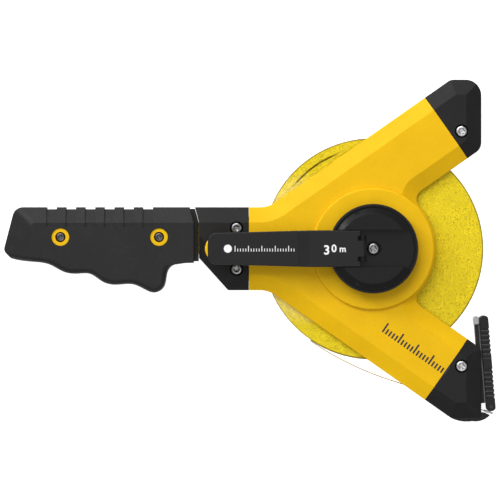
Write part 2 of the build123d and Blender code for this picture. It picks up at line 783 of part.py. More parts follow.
with BuildPart() as crank_knob:
    with BuildSketch(Plane((knob_x, 0, 0), x_dir=(1, 0, 0), z_dir=(0, -1, 0))):
        with BuildLine():
            Polyline((0, knob_low), (knob_r - 1.5, knob_low), (knob_r, knob_low + 1.5))
            ThreePointArc((knob_r, knob_low + 1.5), (knob_r - 1.2, knob_low + 6.5), (knob_r, knob_top - 1.2))
            Polyline((knob_r, knob_top - 1.2), (knob_r - 1.2, knob_top), (0, knob_top), (0, knob_low))
        make_face()
    revolve(axis=Axis((knob_x, 0, 0), (0, 0, 1)))
    rod(knob_x, 0, knob_axle_r + running, knob_low - 1, knob_top + 1, Mode.SUBTRACT)
    rod(knob_x, 0, knob_axle_r + 2 + apart, knob_low - 1, head_floor, Mode.SUBTRACT)
finish(crank_knob, "crank_knob")

# --- Tape to the mouth ------------------------------------------------------------------------

stub_start = 15.0  # how far inside the mouth the moving stub begins
with BuildPart() as tape_lead:
    strip = lead_strip(mouth - line_dir * stub_start, tape_thick)
    extrude(Pos(0, 0, tape_low) * strip, amount=tape_width)
finish(tape_lead, "tape_lead")

# --- Tape end ---------------------------------------------------------------------------------

clamp_back, clamp_front = pin_along - 3.6, pin_along + 2.8
stub_from = -stub_start + apart
knuckle_r = end_pin_r + 1.0
clamp_low, clamp_high = tape_low - 0.3, tape_high + 0.3


def on_line(z, low, high, mode=Mode.ADD):
    """A block in the tape's own plane, from its low to its high corner, standing between two Z."""
    with BuildSketch(tape_plane.offset(z[0])) as block:
        with Locations(((low[0] + high[0]) / 2, (low[1] + high[1]) / 2)):
            Rectangle(high[0] - low[0], high[1] - low[1])
    extrude(block.sketch, amount=z[1] - z[0], mode=mode)


def clamp_rods(length, mode=Mode.ADD):
    """The clamp's two rivets, square to the tape."""
    for z in (mid_z - 4, mid_z + 4):
        site = tape_plane.from_local_coords((pin_along - 1.8, 0, z))
        with Locations(Plane(origin=site, z_dir=line_up)):
            Cylinder(clamp_rivet_r, length, mode=mode)


half_tape = tape_thick / 2
with BuildPart() as tape_stub:
    on_line((tape_low, tape_high), (stub_from, -half_tape), (clamp_front - 0.6, half_tape))
    clamp_rods(6, Mode.SUBTRACT)
finish(tape_stub, "tape_stub")

with BuildPart() as tape_clamp:
    half_clamp = clamp_thick / 2
    clamp_z = (clamp_low, clamp_high)
    on_line(clamp_z, (clamp_back, -half_clamp), (clamp_front, half_clamp))
    on_line(clamp_z, (pin_along - 0.6, 0), (pin_along + 0.6, pin_above))
    rod(pin.X, pin.Y, knuckle_r, *clamp_z)
    rod(pin.X, pin.Y, end_pin_r + running, clamp_low - 1, clamp_high + 1, Mode.SUBTRACT)
    tape_end_front = clamp_front - 0.6
    on_line(
        (tape_low, tape_high), (clamp_back - 1, -half_tape), (tape_end_front, half_tape), Mode.SUBTRACT
    )
    clamp_rods(6, Mode.SUBTRACT)
finish(tape_clamp, "tape_clamp")

with BuildPart() as clamp_rivets:
    clamp_rods(clamp_thick + 0.4)
finish(clamp_rivets, "clamp_rivets")

# --- End fitting ------------------------------------------------------------------------------

grip_low, grip_high = mid_z - fitting_width / 2, mid_z + fitting_width / 2
sleeve_low, sleeve_high = mid_z - sleeve_width / 2, mid_z + sleeve_width / 2
fork_low, fork_high = clamp_low - apart, clamp_high + apart
half_bar = fitting_thick / 2
rivet_heights = (12.0, 55.0)


def on_fitting(z, low, high, mode=Mode.ADD, rounding=0.0):
    """A block in the fitting's own plane: across the bar, then along it from the pin."""
    with BuildSketch(fitting_plane.offset(z[0])) as block:
        with Locations(((low[0] + high[0]) / 2, (low[1] + high[1]) / 2)):
            Rectangle(high[0] - low[0], high[1] - low[1])
        if rounding:
            fillet(block.vertices(), rounding)
    extrude(block.sketch, amount=z[1] - z[0], mode=mode)


def fitting_rivets(radius, low, high, mode=Mode.ADD):
    """Rivets across the bar, from one distance out of its middle to another."""
    for height in rivet_heights:
        site = fitting_plane.from_local_coords(((low + high) / 2, height, mid_z))
        with Locations(Plane(origin=site, z_dir=fitting_plane.x_dir)):
            Cylinder(radius, high - low, mode=mode)


with BuildPart() as end_grip:
    round_end = half_bar - 0.6
    on_fitting((grip_low, grip_high), (-half_bar, -half_bar), (half_bar, fitting_length), rounding=round_end)
    fillet(end_grip.edges(), edge_r)
    rib_groups = ((6.0, 7), (40.0, 6))
    for start, count in rib_groups:
        for index in range(count):
            low_s = start + index * rib_pitch
            high_s = low_s + rib_gap
            near, far = (-half_bar + 0.8, low_s), (half_bar + 1, high_s)
            on_fitting((grip_low - 1, grip_high + 1), (half_bar - rib_depth, low_s), far, Mode.SUBTRACT)
            on_fitting((grip_high - rib_depth, grip_high + 1), near, far, Mode.SUBTRACT)
            on_fitting((grip_low - 1, grip_low + rib_depth), near, far, Mode.SUBTRACT)
    past = half_bar + 1
    on_fitting((fork_low, fork_high), (-past, -past), (past, knuckle_r + apart), Mode.SUBTRACT)
    rod(pin.X, pin.Y, end_pin_r, grip_low - 1, grip_high + 1, Mode.SUBTRACT)
    fitting_rivets(1.0, -half_bar - 1, half_bar - 1.5, Mode.SUBTRACT)
finish(end_grip, "end_grip")

with BuildPart() as end_pin:
    rod(pin.X, pin.Y, end_pin_r, grip_low, grip_high)
finish(end_pin, "end_pin")

plate_start = knuckle_r + apart + 0.4
with BuildPart() as end_claw:
    head_start = fitting_length - claw_head
    plate_z = (sleeve_low + 1, sleeve_high - 1)
    on_fitting(plate_z, (claw_face - claw_thick, plate_start), (claw_face, head_start + 1))
    with BuildSketch(fitting_plane.offset(sleeve_low)) as head:
        with Locations(((sleeve_face - 0.5 + claw_face) / 2, head_start + claw_head / 2)):
            Rectangle(claw_face - sleeve_face + 0.5, claw_head)
        fillet(head.vertices().sort_by(Axis.Y)[-2:], 2.0)
    extrude(amount=sleeve_width)
    fitting_rivets(1.0, claw_face - 4, claw_face + 1, Mode.SUBTRACT)
finish(end_claw, "end_claw")

with BuildPart() as claw_sleeve:
    sleeve_back = claw_face - claw_thick
    on_fitting((sleeve_low, sleeve_high), (sleeve_face, plate_start), (sleeve_back, head_start))
    fitting_rivets(1.0, sleeve_face - 1, sleeve_back + 1, Mode.SUBTRACT)
finish(claw_sleeve, "claw_sleeve")

with BuildPart() as claw_rivets:
    fitting_rivets(1.0, sleeve_face, half_bar - 1.5)
finish(claw_rivets, "claw_rivets")
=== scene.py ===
"""Finishes, screws, wound tape, printed marks and stage for a surveyor's open tape reel."""

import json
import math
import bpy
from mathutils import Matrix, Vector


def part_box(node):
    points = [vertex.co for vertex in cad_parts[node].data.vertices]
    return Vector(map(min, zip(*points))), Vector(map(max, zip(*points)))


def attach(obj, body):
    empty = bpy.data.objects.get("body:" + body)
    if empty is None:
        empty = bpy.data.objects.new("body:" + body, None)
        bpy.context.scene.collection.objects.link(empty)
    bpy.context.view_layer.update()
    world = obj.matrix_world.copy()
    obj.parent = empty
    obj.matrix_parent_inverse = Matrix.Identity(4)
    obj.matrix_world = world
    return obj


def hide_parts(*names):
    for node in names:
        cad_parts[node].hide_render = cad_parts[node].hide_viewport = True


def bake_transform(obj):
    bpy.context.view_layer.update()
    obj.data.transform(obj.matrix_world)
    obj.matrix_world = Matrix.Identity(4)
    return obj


bl_info = {
    "name": "Surveyor Tape Reel",
    "version": (1, 0, 0),
    "blender": (4, 5, 0),
    "location": "View3D > Sidebar > Tape Reel",
    "description": "Finishes a surveyor's open tape reel: plastics, screws, wound tape and marks",
    "category": "Object",
}

import bmesh
import bpy
from bpy.props import FloatProperty, FloatVectorProperty, IntProperty, PointerProperty
from mathutils import Matrix, Vector

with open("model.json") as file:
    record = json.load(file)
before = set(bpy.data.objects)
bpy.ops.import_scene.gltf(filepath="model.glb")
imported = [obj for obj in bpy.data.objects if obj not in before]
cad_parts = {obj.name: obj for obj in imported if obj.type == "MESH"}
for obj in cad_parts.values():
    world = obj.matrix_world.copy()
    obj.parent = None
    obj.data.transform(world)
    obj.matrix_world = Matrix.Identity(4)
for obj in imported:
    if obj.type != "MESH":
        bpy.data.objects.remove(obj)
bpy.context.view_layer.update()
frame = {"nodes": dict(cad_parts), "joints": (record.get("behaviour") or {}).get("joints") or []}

MM = 0.001
JOINTS = {joint["name"]: joint for joint in frame["joints"]}

coil_low, coil_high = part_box("tape_coil")
stub_low, stub_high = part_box("tape_stub")
lead_low, lead_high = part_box("tape_lead")
REEL_CENTRE = (coil_low + coil_high) / 2
MID_Z = REEL_CENTRE.z
COIL_RADIUS = (coil_high.x - coil_low.x) / 2
COIL_INNER = 44.6 * MM  # just clear of the drum
TAPE_WIDTH = coil_high.z - coil_low.z
TAPE_DIRECTION = Vector(JOINTS["tape_pull"]["axis"]).normalized()
TAPE_UP = Vector((-TAPE_DIRECTION.y, TAPE_DIRECTION.x, 0))


# --- settings -----------------------------------------------------------------------------


def colour(name, description, value):
    """A colour that a user may change."""
    return FloatVectorProperty(
        name=name, description=description, default=value, subtype="COLOR", min=0.0, max=1.0
    )


def length(name, description, value, low=0.0, high=5.0):
    """A length in metres that a user may change."""
    return FloatProperty(
        name=name, description=description, default=value, unit="LENGTH", min=low, max=high
    )


def share(name, description, value, high=1.0):
    """A plain number from nothing up."""
    return FloatProperty(name=name, description=description, default=value, min=0.0, max=high)


class ReelColours(bpy.types.PropertyGroup):
    """Colours of the reel's finishes."""

    yellow: colour("Yellow plastic", "Moulded frame and knob", (0.72, 0.425, 0.004))
    black: colour("Black plastic", "Caps, collar, hub and crank", (0.0088, 0.0084, 0.0086))
    grip: colour("Grip plastic", "Handle shells", (0.0088, 0.0084, 0.0086))
    tape: colour("Tape", "Coating of the fibreglass tape", (0.82, 0.63, 0.012))
    # this colour also gives the painted shade on the loose turns that stand back
    tape_shade: colour("Tape edge", "Darker fibre at the tape's cut edges", (0.16, 0.11, 0.004))
    ink: colour("Tape ink", "Graduations and scale marks", (0.008, 0.008, 0.009))
    white: colour("White print", "Marks on the crank", (0.80, 0.80, 0.80))
    zinc: colour("Zinc", "Screws and nuts", (0.50, 0.50, 0.51))
    steel: colour("Spring steel", "Claw, clamp and pins", (0.34, 0.34, 0.35))
    brass: colour("Brass", "Insert in the drum", (0.70, 0.50, 0.20))
    nylon: colour("Nylon", "Bearing bushes", (0.74, 0.73, 0.68))


class ReelTape(bpy.types.PropertyGroup):
    """The wound tape."""

    turns: FloatProperty(name="Turns", description="Turns on the drum", default=78.0, min=5.0)
    points: IntProperty(name="Points", description="Points round one turn", default=96, min=24)
    thickness: length("Thickness", "Thickness of the tape", 0.44 * MM)
    wander: length("Wander", "How far the turns wave in and out", 0.22 * MM)
    stagger: length("Stagger", "How far turns stand out of line sideways", 0.30 * MM)
    dip: length("Dip", "How far the loose turns stand back", 1.7 * MM)
    loose: length("Loose band", "Width of the band of loose turns", 1.35 * MM)
    gap_radius: length("Gap radius", "Where the loose turns begin", 76.6 * MM)
    gap_angle: FloatProperty(
        name="Gap angle", description="Middle of the hollow", default=math.radians(126),
        subtype="ANGLE",
    )
    gap_spread: FloatProperty(
        name="Gap spread", description="Half of the hollow's arc", default=math.radians(21),
        subtype="ANGLE",
    )
    seed: FloatProperty(name="Seed", description="Start of the random waves", default=3.0)


class ReelStage(bpy.types.PropertyGroup):
    """Floor, lights and camera."""

    distance: length("Camera distance", "From the frame's face to the camera", 4.0, high=10.0)
    width: length("Picture width", "Width seen at the frame's face", 0.375, high=10.0)
    centre_x: length("Centre X", "Middle of the picture", -0.09225, low=-1.0)
    centre_y: length("Centre Y", "Middle of the picture", -0.00098, low=-1.0)
    key: share("Key light", "Strength of the light from the upper left, in watts", 178.0, 2000.0)
    edge: share("Edge light", "Strength of the small light that picks out edges, in watts", 46.0, 500.0)
    fill: share("Fill light", "Strength of the light from the lower right, in watts", 26.0, 2000.0)
    sky: share("Surroundings", "Strength of the pale room", 0.42, 10.0)
    glow: share("Floor glow", "Light that the floor gives off by itself", 0.92, 10.0)


class ReelSettings(bpy.types.PropertyGroup):
    """Everything that can be changed on the tape reel."""

    colours: PointerProperty(type=ReelColours)
    tape: PointerProperty(type=ReelTape)
    stage: PointerProperty(type=ReelStage)


# --- words for node trees -----------------------------------------------------------------


class Tree:
    """Short words for adding and joining the nodes of one tree."""

    def __init__(self, tree):
        self.tree = tree

    def add(self, kind, values=None, **settings):
        """A node with its settings made, its inputs joined to sockets or set to values."""
        node = self.tree.nodes.new(kind)
        for name, value in settings.items():
            setattr(node, name, value)
        for key, value in (values or {}).items():
            if isinstance(value, bpy.types.Node):
                value = value.outputs[0]
            if isinstance(value, bpy.types.NodeSocket):
                self.tree.links.new(value, node.inputs[key])
            else:
                node.inputs[key].default_value = value
        return node

    def math(self, operation, first, second=0.0, third=0.0):
        """One step of arithmetic."""
        values = {0: first, 1: second}
        if operation in ("MULTIPLY_ADD", "COMPARE", "SMOOTH_MIN", "WRAP", "PINGPONG"):
            values[2] = third
        return self.add("ShaderNodeMath", values, operation=operation).outputs[0]

    def ramp(self, value, low, high, to_low=0.0, to_high=1.0, smooth=False):
        """value carried from one range to another, and held at its ends."""
        kind = "SMOOTHSTEP" if smooth else "LINEAR"
        values = {
            "Value": value, "From Min": low, "From Max": high,
            "To Min": to_low, "To Max": to_high,
        }
        return self.add("ShaderNodeMapRange", values, interpolation_type=kind).outputs[0]

    def mix(self, factor, first, second, blend="MIX"):
        """Two colours mixed."""
        node = self.add("ShaderNodeMix", data_type="RGBA", blend_type=blend)
        for socket, value in ((0, factor), (6, first), (7, second)):
            if isinstance(value, bpy.types.NodeSocket):
                self.tree.links.new(value, node.inputs[socket])
            elif socket:
                node.inputs[socket].default_value = (*value[:3], 1.0)
            else:
                node.inputs[socket].default_value = value
        return node.outputs[2]


def new_material(name):
    """A material with nothing in it but its output and one shader."""
    material = bpy.data.materials.new(name)
    material.use_nodes = True
    material.node_tree.nodes.clear()
    tree = Tree(material.node_tree)
    shader = tree.add("ShaderNodeBsdfPrincipled")
    tree.add("ShaderNodeOutputMaterial", {"Surface": shader})
    return material, tree, shader


def join(tree, value, socket):
    """A link to the shader."""
    tree.tree.links.new(value, socket)


def noise(tree, place, size, detail=3.0, roughness=0.55):
    """Random grey whose lumps are about one size across."""
    values = {"Vector": place, "Scale": 1 / size, "Detail": detail, "Roughness": roughness}
    return tree.add("ShaderNodeTexNoise", values).outputs[0]


def stretched(tree, place, scale):
    """The place, squeezed so that a pattern on it comes out longer one way."""
    return tree.add("ShaderNodeMapping", {"Vector": place, "Scale": scale}).outputs[0]


# --- finishes -----------------------------------------------------------------------------


def moulded(name, tint, roughness, grain, depth, mottle=0.05, gloss=0.5, edge=0.35 * MM,
            dust=0.0, seam=True):
    """Moulded plastic: spark-eroded grain, faint flow clouds, a parting line and soft edges."""
    material, tree, shader = new_material(name)
    place = tree.add("ShaderNodeTexCoord").outputs["Object"]
    fine = noise(tree, place, grain, 4.0, 0.6)
    cells = tree.add("ShaderNodeTexVoronoi", {"Vector": place, "Scale": 0.6 / grain}).outputs[0]
    cloud = noise(tree, place, 26 * MM, 5.0)
    tone = tree.ramp(cloud, 0.3, 0.7, 1 - mottle, 1 + mottle)
    speck = tree.ramp(noise(tree, place, 0.9 * MM, 2.0), 0.35, 0.65, 1 - mottle / 2, 1 + mottle / 2)
    value = tree.math("MULTIPLY", tone, speck)
    height = tree.math("MULTIPLY", tree.math("ADD", fine, cells), depth)
    if seam:
        z = tree.add("ShaderNodeSeparateXYZ", {"Vector": place}).outputs[2]
        off = tree.math("ABSOLUTE", tree.math("SUBTRACT", z, MID_Z))
        line = tree.ramp(off, 0.10 * MM, 0.22 * MM, 1.0, 0.0, smooth=True)
        height = tree.math("SUBTRACT", height, tree.math("MULTIPLY", line, 0.15 * MM))
        value = tree.math("MULTIPLY", value, tree.math("SUBTRACT", 1.0, tree.math("MULTIPLY", line, 0.45)))
    shade = tree.add("ShaderNodeHueSaturation", {"Value": value, "Color": (*tint, 1.0)}).outputs[0]
    if dust:
        film = tree.ramp(noise(tree, place, 9 * MM, 6.0, 0.7), 0.52, 0.75, 0.0, dust)
        shade = tree.mix(film, shade, (0.30, 0.29, 0.28))
    join(tree, shade, shader.inputs["Base Color"])
    join(tree, tree.ramp(fine, 0.3, 0.7, roughness - 0.06, roughness + 0.07), shader.inputs["Roughness"])
    shader.inputs["Specular IOR Level"].default_value = gloss
    soft = tree.add("ShaderNodeBevel", {"Radius": edge}, samples=6)
    bump = tree.add(
        "ShaderNodeBump", {"Height": height, "Distance": 1.0, "Strength": 1.0, "Normal": soft}
    )
    join(tree, bump.outputs[0], shader.inputs["Normal"])
    return material


def metal(name, tint, roughness, brushed=(1.0, 1.0, 1.0), grain=0.25 * MM, depth=0.004 * MM):
    """Bare or plated metal: drawn lines or a fine crystal, light scratches, dull patches and painted shade
    in its recesses.
    """
    material, tree, shader = new_material(name)
    place = tree.add("ShaderNodeTexCoord").outputs["Object"]
    lines = noise(tree, stretched(tree, place, brushed), grain, 4.0, 0.7)
    patch = noise(tree, place, 3 * MM, 4.0)
    scratch = tree.add(
        "ShaderNodeTexVoronoi",
        {"Vector": stretched(tree, place, (1.0, 6.0, 1.0)), "Scale": 900.0},
        feature="DISTANCE_TO_EDGE",
    ).outputs[0]
    value = tree.math(
        "MULTIPLY", tree.ramp(patch, 0.3, 0.7, 0.94, 1.04), tree.ramp(scratch, 0.0, 0.03, 0.88, 1.0)
    )
    # painted shade: recesses darkened by ambient occlusion, almost to black in the screw recesses
    painted_shade_ao = tree.add("ShaderNodeAmbientOcclusion", {"Distance": 1.6 * MM}, samples=8).outputs["AO"]
    value = tree.math("MULTIPLY", value, tree.ramp(painted_shade_ao, 0.35, 0.85, 0.04, 1.0))
    shade = tree.add("ShaderNodeHueSaturation", {"Value": value, "Color": (*tint, 1.0)})
    join(tree, shade.outputs[0], shader.inputs["Base Color"])
    join(tree, tree.ramp(patch, 0.3, 0.7, roughness - 0.03, roughness + 0.05), shader.inputs["Roughness"])
    shader.inputs["Metallic"].default_value = 1.0
    soft = tree.add("ShaderNodeBevel", {"Radius": 0.15 * MM}, samples=6)
    height = tree.math("MULTIPLY", lines, depth)
    bump = tree.add("ShaderNodeBump", {"Height": height, "Distance": 1.0, "Normal": soft})
    join(tree, bump.outputs[0], shader.inputs["Normal"])
    return material


def coated_tape(name, colours):
    """Fibreglass tape: cut fibres at its edges, painted shade on its loose turns, glossy coating and
    graduations on its faces.
    """
    material, tree, shader = new_material(name)
    place = tree.add("ShaderNodeTexCoord").outputs["Object"]
    along = tree.add("ShaderNodeAttribute", attribute_name="along").outputs["Fac"]
    spot = tree.add("ShaderNodeSeparateXYZ", {"Vector": place})
    x, y, z = spot.outputs
    normal = tree.add("ShaderNodeNewGeometry").outputs["True Normal"]
    upright = tree.math("ABSOLUTE", tree.add("ShaderNodeSeparateXYZ", {"Vector": normal}).outputs[2])
    on_edge = tree.math("GREATER_THAN", upright, 0.5)
    # graduations, on the faces only
    across = tree.math("DIVIDE", tree.math("SUBTRACT", z, MID_Z), TAPE_WIDTH / 2)
    def marks(step, width, inner):
        part = tree.math("FRACT", tree.math("DIVIDE", along, step))
        thin = tree.math("LESS_THAN", part, width / step)
        return tree.math("MULTIPLY", thin, tree.math("GREATER_THAN", across, inner))
    printed = tree.math("MAXIMUM", marks(2 * MM, 0.35 * MM, 0.62), marks(10 * MM, 0.5 * MM, 0.1))
    printed = tree.math("MAXIMUM", printed, marks(100 * MM, 1.2 * MM, -0.9))
    printed = tree.math("MULTIPLY", printed, tree.math("SUBTRACT", 1.0, on_edge))
    # cut edge: fibres, grime and print that shows at the edge, darker towards the coil's outer edge, and
    # painted shade on the loose turns that stand back
    cloud = noise(tree, place, 11 * MM, 4.0)
    speck = noise(tree, place, 1.1 * MM, 2.0, 0.8)
    run = tree.add("ShaderNodeCombineXYZ", {0: along, 1: z, 2: 0.0}).outputs[0]
    fibre = noise(tree, stretched(tree, run, (0.25, 1.0, 1.0)), 1.3 * MM, 3.0, 0.75)
    grime = tree.ramp(cloud, 0.35, 0.65, 0.25, 1.0)
    grime_and_painted_shade = tree.math("MULTIPLY", tree.ramp(speck, 0.52, 0.62, 0.0, 0.8), grime)
    grime_and_painted_shade = tree.math("MAXIMUM", grime_and_painted_shade, tree.ramp(fibre, 0.53, 0.66, 0.0, 0.6))
    flat = tree.add("ShaderNodeCombineXYZ", {0: x, 1: y, 2: 0.0}).outputs[0]
    reach = tree.add("ShaderNodeVectorMath", {0: flat}, operation="LENGTH").outputs["Value"]
    # darker towards and beyond the coil's outer edge
    rim = tree.ramp(reach, COIL_RADIUS - 1.5 * MM, COIL_RADIUS - 0.7 * MM, 0.0, 1.0)
    off_middle = tree.math("ABSOLUTE", tree.math("SUBTRACT", z, MID_Z))
    below = tree.math("SUBTRACT", TAPE_WIDTH / 2, off_middle)
    # painted shade: turns whose top edge stands back from the face of the coil (the loose turns) are
    # darkened
    painted_hollow_shade = tree.ramp(below, 0.9 * MM, 1.5 * MM, 0.0, 0.85)
    grime_and_painted_shade = tree.math("MAXIMUM", grime_and_painted_shade, tree.math("MAXIMUM", rim, painted_hollow_shade))
    grime_and_painted_shade = tree.math("MULTIPLY", grime_and_painted_shade, on_edge)
    shade = tree.mix(grime_and_painted_shade, colours.tape, colours.tape_shade)
    bright = tree.math("MULTIPLY", tree.ramp(fibre, 0.3, 0.46, 0.55, 0.0), on_edge)
    shade = tree.mix(bright, shade, (0.95, 0.80, 0.05))
    tint = tree.add(
        "ShaderNodeHueSaturation", {"Value": tree.ramp(cloud, 0.3, 0.7, 0.9, 1.08), "Color": shade}
    )
    shade = tree.mix(printed, tint.outputs[0], colours.ink)
    join(tree, shade, shader.inputs["Base Color"])
    join(tree, tree.ramp(on_edge, 0.0, 1.0, 0.28, 0.6), shader.inputs["Roughness"])
    height = tree.math("MULTIPLY", tree.math("ADD", speck, fibre), 0.05 * MM)
    bump = tree.add("ShaderNodeBump", {"Height": height, "Distance": 1.0})
    join(tree, bump.outputs[0], shader.inputs["Normal"])
    shader.inputs["Specular IOR Level"].default_value = 0.15
    return material


def printed_ink(name, tint, roughness):
    """Pad-printed ink: a little uneven, with pinholes at its thin spots."""
    material, tree, shader = new_material(name)
    place = tree.add("ShaderNodeTexCoord").outputs["Object"]
    film = noise(tree, place, 0.7 * MM, 4.0, 0.7)
    shade = tree.add(
        "ShaderNodeHueSaturation", {"Value": tree.ramp(film, 0.3, 0.7, 0.88, 1.08), "Color": (*tint, 1.0)}
    )
    join(tree, shade.outputs[0], shader.inputs["Base Color"])
    join(tree, tree.ramp(film, 0.3, 0.7, roughness - 0.05, roughness + 0.08), shader.inputs["Roughness"])
    return material


def ribbed(name, tint):
    """Black plastic with pale lines along the edges of its cross ribs: a painted highlight."""
    material, tree, shader = new_material(name)
    place = tree.add("ShaderNodeTexCoord").outputs["Object"]
    pitch = 3.5 * MM
    low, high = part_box("end_grip")
    y = tree.add("ShaderNodeSeparateXYZ", {"Vector": place}).outputs[1]
    part = tree.math("FRACT", tree.math("DIVIDE", tree.math("SUBTRACT", y, low.y), pitch))
    edge = tree.math("COMPARE", part, 0.3, 0.11)
    share_up = tree.ramp(y, low.y, high.y)
    first = tree.math("COMPARE", share_up, 0.27, 0.14)
    second = tree.math("COMPARE", share_up, 0.70, 0.15)
    # painted highlight: pale lines along the rib edges, in two bands up the grip, their strength varied by
    # noise
    wear_and_highlight = tree.math("MULTIPLY", edge, tree.math("ADD", first, second))
    wear_and_highlight = tree.math("MULTIPLY", wear_and_highlight, tree.ramp(noise(tree, place, 1.5 * MM), 0.3, 0.7, 0.4, 1.0))
    join(tree, tree.mix(wear_and_highlight, tint, (0.06, 0.06, 0.06)), shader.inputs["Base Color"])
    join(tree, tree.ramp(wear_and_highlight, 0.0, 1.0, 0.42, 0.6), shader.inputs["Roughness"])
    shader.inputs["Specular IOR Level"].default_value = 0.22
    soft = tree.add("ShaderNodeBevel", {"Radius": 0.3 * MM}, samples=6)
    join(tree, soft.outputs[0], shader.inputs["Normal"])
    return material


def coat(material, *nodes):
    """A CAD node's finish."""
    for name in nodes:
        mesh = frame["nodes"][name].data
        mesh.materials.clear()
        mesh.materials.append(material)


# --- words for pieces ---------------------------------------------------------------------


def new_piece(name, mesh, material, body, slot, *stands_for):
    """A finished piece, riding on its body."""
    piece = bpy.data.objects.new(name, mesh)
    bpy.context.scene.collection.objects.link(piece)
    mesh.materials.clear()
    mesh.materials.append(material)
    if body:
        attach(piece, body)
    if stands_for:
        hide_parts(*stands_for)
    return piece


def lofted(name, rings, segments=72):
    """A round closed mesh from its rings, each (radius, lobe depth, height); lobes make a star."""
    shape = bmesh.new()
    loops = []
    for radius, lobe, height in rings:
        if radius == 0:
            loops.append([shape.verts.new((0, 0, height))])
            continue
        loop = []
        for step in range(segments):
            turn = 2 * math.pi * step / segments
            reach = radius + lobe * math.cos(6 * turn)
            loop.append(shape.verts.new((reach * math.cos(turn), reach * math.sin(turn), height)))
        loops.append(loop)
    for low, high in zip(loops, loops[1:]):
        for step in range(segments):
            after = (step + 1) % segments
            corners = [low[step % len(low)], low[after % len(low)]]
            corners += [high[after % len(high)], high[step % len(high)]]
            shape.faces.new(list(dict.fromkeys(corners)))
    bmesh.ops.recalc_face_normals(shape, faces=shape.faces)
    mesh = bpy.data.meshes.new(name)
    shape.to_mesh(mesh)
    shape.free()
    return mesh


def smooth_by_angle(mesh, degrees=35):
    """Smooth shading that keeps the sharp edges."""
    mesh.polygons.foreach_set("use_smooth", [True] * len(mesh.polygons))
    mesh.set_sharp_from_angle(angle=math.radians(degrees))


def node_group(name, inputs):
    """An empty geometry tree with named inputs; gives the words for it, its inputs and its end."""
    group = bpy.data.node_groups.new(name, "GeometryNodeTree")
    group.interface.new_socket("Geometry", in_out="OUTPUT", socket_type="NodeSocketGeometry")
    for label, kind, value in inputs:
        socket = group.interface.new_socket(label, in_out="INPUT", socket_type="NodeSocket" + kind)
        if value is not None:
            socket.default_value = value
    tree = Tree(group)
    start = tree.add("NodeGroupInput")
    end = tree.add("NodeGroupOutput")
    return tree, start.outputs, end


def close_tree(tree, geometry, given, end):
    """The end of every tree: real geometry with its material."""
    real = tree.add("GeometryNodeRealizeInstances", {"Geometry": geometry})
    last = tree.add("GeometryNodeSetMaterial", {"Geometry": real, "Material": given["Material"]})
    tree.tree.links.new(last.outputs[0], end.inputs[0])


def grown(name, group, values, mesh=None):
    """The mesh that a geometry tree makes, from a base mesh or from nothing."""
    base = bpy.data.objects.new(name, mesh or bpy.data.meshes.new(name))
    bpy.context.scene.collection.objects.link(base)
    modifier = base.modifiers.new(name, "NODES")
    modifier.node_group = group
    for item in group.interface.items_tree:
        if item.item_type == "SOCKET" and item.in_out == "INPUT" and item.name in values:
            modifier[item.identifier] = values[item.name]
    bpy.context.view_layer.update()
    graph = bpy.context.evaluated_depsgraph_get()
    made = bpy.data.meshes.new_from_object(base.evaluated_get(graph))
    base.modifiers.remove(modifier)
    bpy.data.objects.remove(base)
    made.name = name
    if not made.polygons:
        raise RuntimeError(f"{name}: the tree made nothing")
    return made


def line_of_copies():
    """Copies of the base mesh at even steps along a line."""
    tree, given, end = node_group(
        "line_of_copies",
        [
            ("Geometry", "Geometry", None),
            ("First", "Vector", (0, 0, 0)),
            ("Last", "Vector", (0, 0, 0)),
            ("Count", "Int", 2),
            ("Turn", "Float", 0.0),
            ("Material", "Material", None),
        ],
    )
    line = tree.add(
        "GeometryNodeMeshLine",
        {"Count": given["Count"], "Start Location": given["First"], "Offset": given["Last"]},
        mode="END_POINTS",
    )
    index = tree.add("GeometryNodeInputIndex")
    turn = tree.math("MULTIPLY", index.outputs[0], given["Turn"])
    rotation = tree.add("ShaderNodeCombineXYZ", {2: turn})
    copies = tree.add(
        "GeometryNodeInstanceOnPoints",
        {"Points": line, "Instance": given["Geometry"], "Rotation": rotation},
    )
    close_tree(tree, copies, given, end)
    return tree.tree


